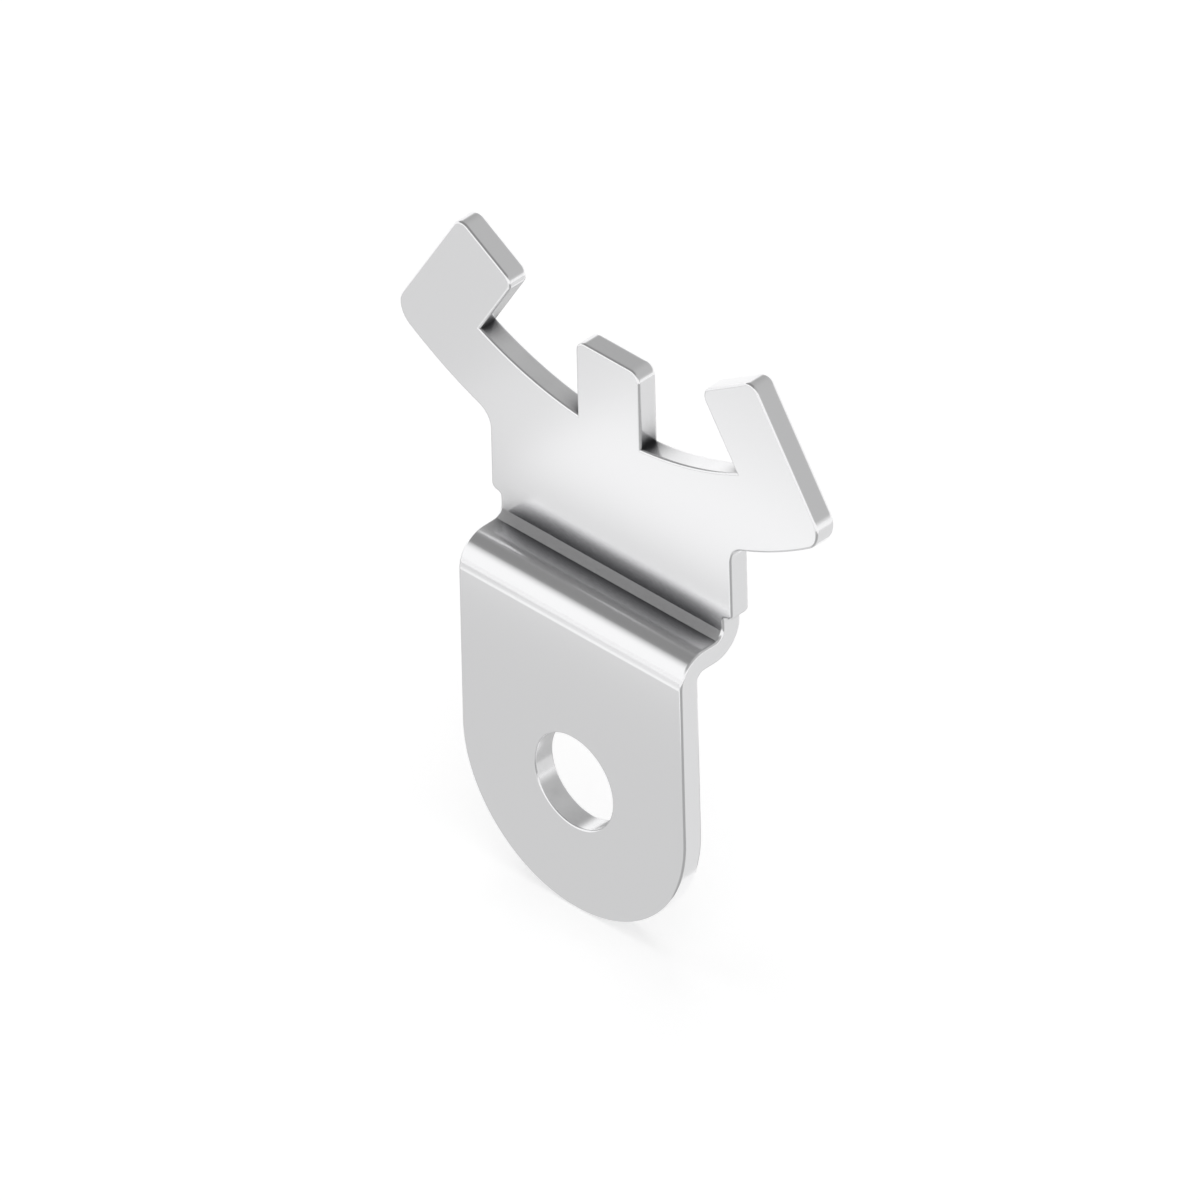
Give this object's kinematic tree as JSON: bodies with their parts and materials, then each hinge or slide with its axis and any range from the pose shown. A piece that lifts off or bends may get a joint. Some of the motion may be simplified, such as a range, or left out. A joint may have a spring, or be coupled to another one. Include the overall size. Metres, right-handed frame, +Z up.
{
  "type": "adjusting nut retainer",
  "caption": "Joggled flat steel plate: a round-ended bolting tab, a double bend and an offset fork of teeth that lock the notches of an adjusting nut.",
  "frame": {"origin": "axis of the bolt hole where it meets the tab's rear face, the face that seats", "axes": "+X to the viewer's right, +Y from the viewer through the tab towards the nut, +Z up the tab towards the teeth"},
  "size_m": [0.0566, 0.0086, 0.0691],
  "materials": {
    "bright_steel": "bright plated, smooth"
  },
  "bodies": {
    "root": {"retainer": "bright_steel"}
  },
  "joints": []
}
